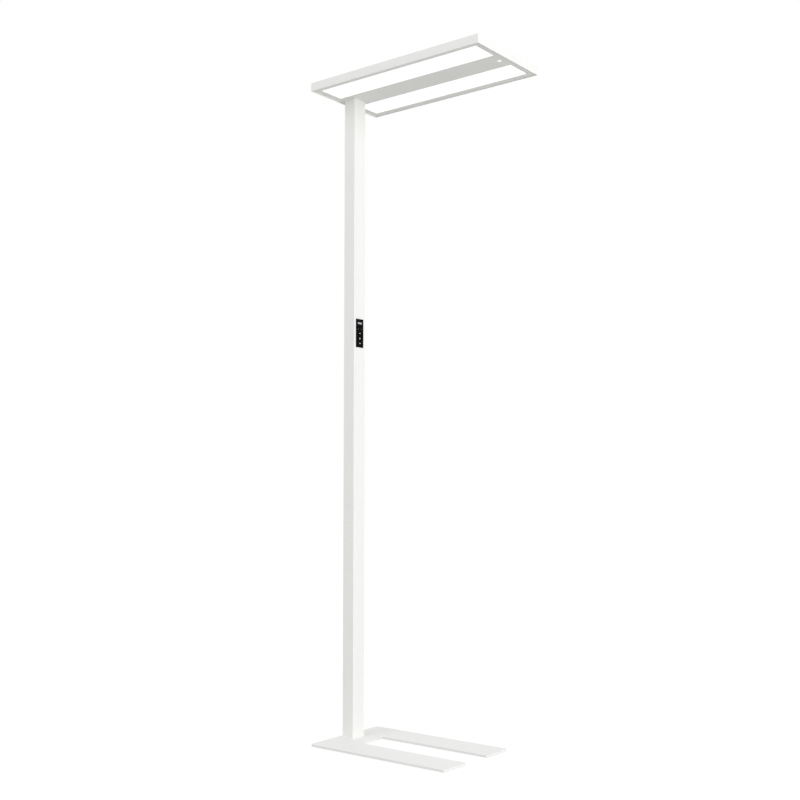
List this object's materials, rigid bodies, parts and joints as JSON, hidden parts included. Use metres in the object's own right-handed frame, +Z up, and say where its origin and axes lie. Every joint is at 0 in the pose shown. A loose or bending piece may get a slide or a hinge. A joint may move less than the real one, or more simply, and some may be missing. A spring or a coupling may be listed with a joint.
{
  "type": "office floor lamp",
  "caption": "Free-standing office floor lamp with a U-shaped plate base, a slim rectangular column with a key panel, and a flat rectangular head with two lit windows.",
  "frame": {"origin": "on the floor, under the middle of the head, which is the middle of the whole lamp's bounding box", "axes": "+Z up; +X from the column towards the head's free end and along the base's prongs; +Y across the head"},
  "size_m": [0.6, 0.304, 1.94],
  "materials": {
    "white_steel": "fine-texture white powder coat",
    "white_aluminium": "fine-texture white powder coat",
    "white_sheet": "fine-texture white powder coat",
    "rubber_black": "matt",
    "zinc_steel": "bright zinc plated",
    "bare_aluminium": "milled",
    "lead_sheath": "smooth sheath",
    "panel_black": "gloss",
    "key_black": "gloss",
    "display_glass": "smoked",
    "circuit_board": "solder mask",
    "module_plastic": "moulded",
    "white_plastic": "moulded",
    "tray_white": "high-reflectance white",
    "clear_lens": "lightly frosted",
    "diffuser": "opal microprism, lit",
    "driver_case": "moulded",
    "sensor_lens": "faceted lens"
  },
  "bodies": {
    "root": {"base_plate": "white_steel", "foot_pads": "rubber_black", "base_bolts": "zinc_steel", "column": "white_aluminium", "foot_block": "bare_aluminium", "top_block": "bare_aluminium", "foot_block_screws": "zinc_steel", "top_block_screws": "zinc_steel", "cord_inlet_grommet": "rubber_black", "supply_lead": "lead_sheath", "control_lead": "lead_sheath", "panel_housing": "panel_black", "display_window": "display_glass", "control_board": "circuit_board", "display_module": "module_plastic", "key_switches": "module_plastic", "board_screws": "zinc_steel", "control_socket": "white_plastic", "panel_back_cover": "panel_black", "frame_left": "white_aluminium", "frame_right": "white_aluminium", "frame_front": "white_aluminium", "frame_rear": "white_aluminium", "corner_keys": "bare_aluminium", "face_sheet": "white_sheet", "stud_nuts": "zinc_steel", "top_cover": "white_sheet", "up_lens_left": "clear_lens", "up_lens_right": "clear_lens", "cover_screws": "zinc_steel", "diffuser_left": "diffuser", "reflector_tray_left": "tray_white", "light_strips_left": "circuit_board", "up_light_strip_left": "circuit_board", "diffuser_right": "diffuser", "reflector_tray_right": "tray_white", "light_strips_right": "circuit_board", "up_light_strip_right": "circuit_board", "spine_channel": "zinc_steel", "head_bolts": "zinc_steel", "driver_down": "driver_case", "driver_up": "driver_case", "driver_screws": "zinc_steel", "terminal_block": "white_plastic", "sensor_housing": "white_plastic", "sensor_board": "circuit_board", "sensor_lens": "sensor_lens"},
    "key_left": {"key_left": "key_black"},
    "key_right": {"key_right": "key_black"},
    "key_up": {"key_up": "key_black"},
    "key_power": {"key_power": "key_black"},
    "key_down": {"key_down": "key_black"}
  },
  "joints": [
    {"name": "key_left_press", "type": "slide", "parent": "root", "child": "key_left", "axis": [-1, 0, 0], "range_m": [0, 0.0005], "stiffness_N_per_m": 1200, "springref_m": -0.0005},
    {"name": "key_right_press", "type": "slide", "parent": "root", "child": "key_right", "axis": [-1, 0, 0], "range_m": [0, 0.0005], "stiffness_N_per_m": 1200, "springref_m": -0.0005},
    {"name": "key_up_press", "type": "slide", "parent": "root", "child": "key_up", "axis": [-1, 0, 0], "range_m": [0, 0.0005], "stiffness_N_per_m": 1200, "springref_m": -0.0005},
    {"name": "key_power_press", "type": "slide", "parent": "root", "child": "key_power", "axis": [-1, 0, 0], "range_m": [0, 0.0005], "stiffness_N_per_m": 1200, "springref_m": -0.0005},
    {"name": "key_down_press", "type": "slide", "parent": "root", "child": "key_down", "axis": [-1, 0, 0], "range_m": [0, 0.0005], "stiffness_N_per_m": 1200, "springref_m": -0.0005}
  ]
}
